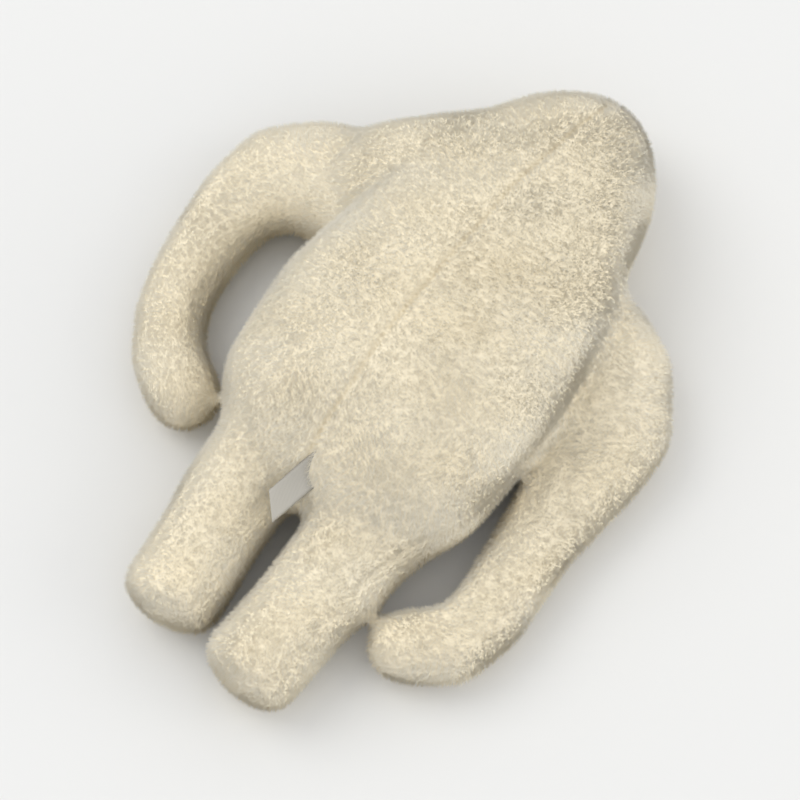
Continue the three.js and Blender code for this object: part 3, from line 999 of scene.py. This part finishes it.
def ribbonPath(length, gap, steps):
    # down one layer, round the fold and back up the other: how far along, and which side of the middle
    radius = gap / 2
    straight = length - radius
    down = [(straight * k / steps, -radius) for k in range(steps + 1)]
    fold = [(math.cos(a), math.sin(a)) for a in np.linspace(-math.pi / 2, math.pi / 2, 7)[1:-1]]
    turn = [(straight + radius * x, radius * y) for x, y in fold]
    return down + turn + [(x, -y) for x, y in reversed(down)]


def makeLabel():
    low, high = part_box("care_label")
    top = Vector(((low.x + high.x) / 2, high.y, high.z))
    names = ("rootUpper", "rootLower", "foldUpper", "foldLower")
    corners = {name: top + Vector(labelForm[name]) for name in names}
    root = (corners["rootUpper"] + corners["rootLower"]) / 2
    fold = (corners["foldUpper"] + corners["foldLower"]) / 2
    length, width = (fold - root).length, (corners["foldLower"] - corners["foldUpper"]).length
    path = ribbonPath(length, labelForm["gap"], labelForm["along"])
    walked = np.concatenate([[0], np.cumsum([math.dist(a, b) for a, b in zip(path, path[1:])])])
    across = labelForm["across"]
    points, places = [], []
    for (distance, aside), cloth in zip(path, walked):
        share = distance / length
        upper = corners["rootUpper"].lerp(corners["foldUpper"], share)
        lower = corners["rootLower"].lerp(corners["foldLower"], share)
        faceWay = (fold - root).cross(lower - upper).normalized()
        rise = labelForm["lift"] * math.sin(math.pi * share)
        for j in range(across + 1):
            offset = j / across
            curl = rise + labelForm["bow"] * math.sin(math.pi * share) * 4 * offset * (1 - offset)
            points.append(upper.lerp(lower, offset) + faceWay * (aside - curl))
            places.append(((offset - 0.5) * width, cloth))
    faces = []
    for k in range(len(path) - 1):
        for j in range(across):
            here = k * (across + 1) + j
            faces.append((here, here + 1, here + across + 2, here + across + 1))
    mesh = bpy.data.meshes.new("careLabel")
    mesh.from_pydata(points, [], faces)
    layer = mesh.uv_layers.new(name="ribbon")
    for loop in mesh.loops:
        layer.data[loop.index].uv = places[loop.vertex_index]
    piece = bpy.data.objects.new("careLabel", mesh)
    bpy.context.scene.collection.objects.link(piece)
    solid = piece.modifiers.new("thickness", "SOLIDIFY")
    solid.thickness = labelForm["thickness"]
    solid.offset = 0.0
    piece = applied(piece)
    for polygon in piece.data.polygons:
        polygon.use_smooth = True
    piece.data.materials.append(satinRibbon(width))
    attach(piece, "torso")
    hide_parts("care_label")
    print("care label made")


makeStudio()
skins = {part: partSkin(part) for part in partNames}
for side in sides:
    keptClear(skins[f"wing_{side}"], [skins["body"], skins[f"leg_{side}"]])
print("parts shaped")
cover = coverOf(skins)
print(f"cover made: {len(cover.data.polygons)} faces")
centres = faceCentres(cover)
partShares = nearness(centres, [treeOf(skin) for skin in skins.values()])
partOfFace = partShares.argmax(1)
pressedSeam(cover, backSeamDistance, seams["backDepth"])
pressedSeam(cover, sideSeamDistance, seams["sideDepth"])
strands = grownPile(cover, partShares, 101)
print(f"pile grown: {len(strands['roots'])} strands")

upper = centres[:, 2] > seams["sideZ"] + seams["sideRise"] * centres[:, 1]
leftHalf = centres[:, 0] < seams["backX"]
onBody = partOfFace == 0
headward = along(centres, "neck") > bends["neck"][1] + panelCut
panels = {}  # name: faces, CAD node, then the joint it bends across or the body it rides on
for part, there, joint, body in (("torso", ~headward, None, "torso"), ("head", headward, "neck", None)):
    belly = "torso_belly" if part == "torso" else "head_front"
    panels[f"{part}_back_left"] = (onBody & there & upper & leftHalf, f"{part}_back_left", joint, body)
    panels[f"{part}_back_right"] = (onBody & there & upper & ~leftHalf, f"{part}_back_right", joint, body)
    panels[belly] = (onBody & there & ~upper, belly, joint, body)
for side in sides:
    onWing = partOfFace == partNames.index(f"wing_{side}")
    fore = along(centres, f"elbow_{side}") > bends[f"elbow_{side}"][1] + panelCut
    high = centres[:, 2] > pivotOf(f"elbow_{side}").z
    for stretch, there, joint in (("upper", ~fore, f"shoulder_{side}"), ("fore", fore, f"elbow_{side}")):
        for face, turned in (("top", high), ("under", ~high)):
            node = f"wing_{side}_{stretch}_{face}"
            panels[node] = (onWing & there & turned, node, joint, None)
    onLeg = partOfFace == partNames.index(f"leg_{side}")
    sole = centres[:, 1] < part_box(f"leg_{side}_sole")[1].y
    high = centres[:, 2] > pivotOf(f"hip_{side}").z
    panels[f"leg_{side}_top"] = (onLeg & ~sole & high, f"leg_{side}_top", f"hip_{side}", None)
    panels[f"leg_{side}_under"] = (onLeg & ~sole & ~high, f"leg_{side}_under", f"hip_{side}", None)
    panels[f"leg_{side}_sole"] = (onLeg & sole, f"leg_{side}_sole", None, f"leg_{side}")

pileMaterial = polyesterPile()
for name, (faces, node, joint, body) in panels.items():
    piece = panelMesh(name + "_pile", cover, faces, strands, pileMaterial)
    hang(piece, body)
    dress([node])

fillingMaterial = fibreFilling()
for node in [n for n in frame["nodes"] if "stuffing" in n]:
    makeFilling(node, fillingMaterial)
print("fillings made")
for skin in [cover, *skins.values()]:
    bpy.data.objects.remove(skin)
makeLabel()
